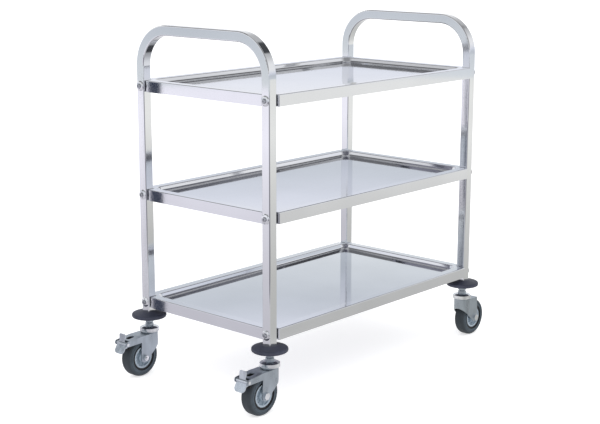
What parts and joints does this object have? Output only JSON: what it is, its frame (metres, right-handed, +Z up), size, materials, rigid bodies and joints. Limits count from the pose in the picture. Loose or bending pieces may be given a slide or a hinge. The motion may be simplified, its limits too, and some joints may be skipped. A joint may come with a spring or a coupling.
{
  "type": "food service trolley",
  "caption": "Stainless steel service trolley: pressed trays on square-tube hoop handles, round rubber bumpers and swivel casters, braked at one end.",
  "frame": {"origin": "on the floor, under the middle of the whole trolley's box, casters and brake pedals included", "axes": "+X along the trolley's length, from the braked end to the plain end; +Y across it; +Z up"},
  "size_m": [0.9776, 0.508, 0.89],
  "materials": {
    "polished_tube": "mirror polished stainless tube",
    "polished_sheet": "mirror polished stainless sheet",
    "steel_screws": "stainless screws",
    "steel_washers": "polished stainless washers",
    "zinc": "zinc plated pressed steel",
    "bright_zinc": "bright zinc plated steel",
    "pedal_zinc": "zinc plated sheet",
    "nylon": "dark moulded nylon",
    "bumper_rubber": "dark slate rubber, satin",
    "tyre_rubber": "dark slate rubber",
    "shoe_rubber": "black rubber",
    "black_plastic": "black ring",
    "grey_plastic": "grey hub disc"
  },
  "bodies": {
    "frame": {"hoop_left": "polished_tube", "hoop_right": "polished_tube", "tray_bottom": "polished_sheet", "tray_middle": "polished_sheet", "tray_top": "polished_sheet", "tray_screws": "steel_screws", "tray_washers": "steel_washers", "tray_spacers": "nylon", "tray_weld_nuts": "zinc", "leg_plugs": "nylon", "lock_nuts": "zinc", "bumper_front_left": "bumper_rubber", "stem_front_left": "zinc", "race_front_left": "bright_zinc", "bumper_back_left": "bumper_rubber", "stem_back_left": "zinc", "race_back_left": "bright_zinc", "bumper_front_right": "bumper_rubber", "stem_front_right": "zinc", "race_front_right": "bright_zinc", "bumper_back_right": "bumper_rubber", "stem_back_right": "zinc", "race_back_right": "bright_zinc"},
    "swivel_front_left": {"fork_front_left": "zinc", "axle_front_left": "bright_zinc", "axle_nut_front_left": "bright_zinc", "race_balls_front_left": "bright_zinc", "pedal_pin_front_left": "bright_zinc", "brake_shoe_front_left": "shoe_rubber"},
    "wheel_front_left": {"tyre_front_left": "tyre_rubber", "rim_front_left": "black_plastic", "hub_front_left": "grey_plastic"},
    "brake_front_left": {"pedal_front_left": "pedal_zinc"},
    "swivel_back_left": {"fork_back_left": "zinc", "axle_back_left": "bright_zinc", "axle_nut_back_left": "bright_zinc", "race_balls_back_left": "bright_zinc", "pedal_pin_back_left": "bright_zinc", "brake_shoe_back_left": "shoe_rubber"},
    "wheel_back_left": {"tyre_back_left": "tyre_rubber", "rim_back_left": "black_plastic", "hub_back_left": "grey_plastic"},
    "brake_back_left": {"pedal_back_left": "pedal_zinc"},
    "swivel_front_right": {"fork_front_right": "zinc", "axle_front_right": "bright_zinc", "axle_nut_front_right": "bright_zinc", "race_balls_front_right": "bright_zinc"},
    "wheel_front_right": {"tyre_front_right": "tyre_rubber", "rim_front_right": "black_plastic", "hub_front_right": "grey_plastic"},
    "swivel_back_right": {"fork_back_right": "zinc", "axle_back_right": "bright_zinc", "axle_nut_back_right": "bright_zinc", "race_balls_back_right": "bright_zinc"},
    "wheel_back_right": {"tyre_back_right": "tyre_rubber", "rim_back_right": "black_plastic", "hub_back_right": "grey_plastic"}
  },
  "joints": [
    {"name": "swivel_front_left_turn", "type": "hinge", "parent": "frame", "child": "swivel_front_left", "pos_m": [-0.38223, -0.21, 0.11], "axis": [0, 0, 1], "continuous": true},
    {"name": "wheel_front_left_roll", "type": "hinge", "parent": "swivel_front_left", "child": "wheel_front_left", "pos_m": [-0.41823, -0.21, 0.05], "axis": [0, 1, 0], "continuous": true},
    {"name": "brake_front_left_press", "type": "hinge", "parent": "swivel_front_left", "child": "brake_front_left", "pos_m": [-0.47423, -0.21, 0.097], "axis": [0, -1, 0], "range_deg": [0, 20]},
    {"name": "swivel_back_left_turn", "type": "hinge", "parent": "frame", "child": "swivel_back_left", "pos_m": [-0.38223, 0.21, 0.11], "axis": [0, 0, 1], "continuous": true},
    {"name": "wheel_back_left_roll", "type": "hinge", "parent": "swivel_back_left", "child": "wheel_back_left", "pos_m": [-0.41823, 0.21, 0.05], "axis": [0, 1, 0], "continuous": true},
    {"name": "brake_back_left_press", "type": "hinge", "parent": "swivel_back_left", "child": "brake_back_left", "pos_m": [-0.47423, 0.21, 0.097], "axis": [0, -1, 0], "range_deg": [0, 20]},
    {"name": "swivel_front_right_turn", "type": "hinge", "parent": "frame", "child": "swivel_front_right", "pos_m": [0.40277, -0.21, 0.11], "axis": [0, 0, 1], "continuous": true},
    {"name": "wheel_front_right_roll", "type": "hinge", "parent": "swivel_front_right", "child": "wheel_front_right", "pos_m": [0.43877, -0.21, 0.05], "axis": [0, 1, 0], "continuous": true},
    {"name": "swivel_back_right_turn", "type": "hinge", "parent": "frame", "child": "swivel_back_right", "pos_m": [0.40277, 0.21, 0.11], "axis": [0, 0, 1], "continuous": true},
    {"name": "wheel_back_right_roll", "type": "hinge", "parent": "swivel_back_right", "child": "wheel_back_right", "pos_m": [0.43877, 0.21, 0.05], "axis": [0, 1, 0], "continuous": true}
  ]
}
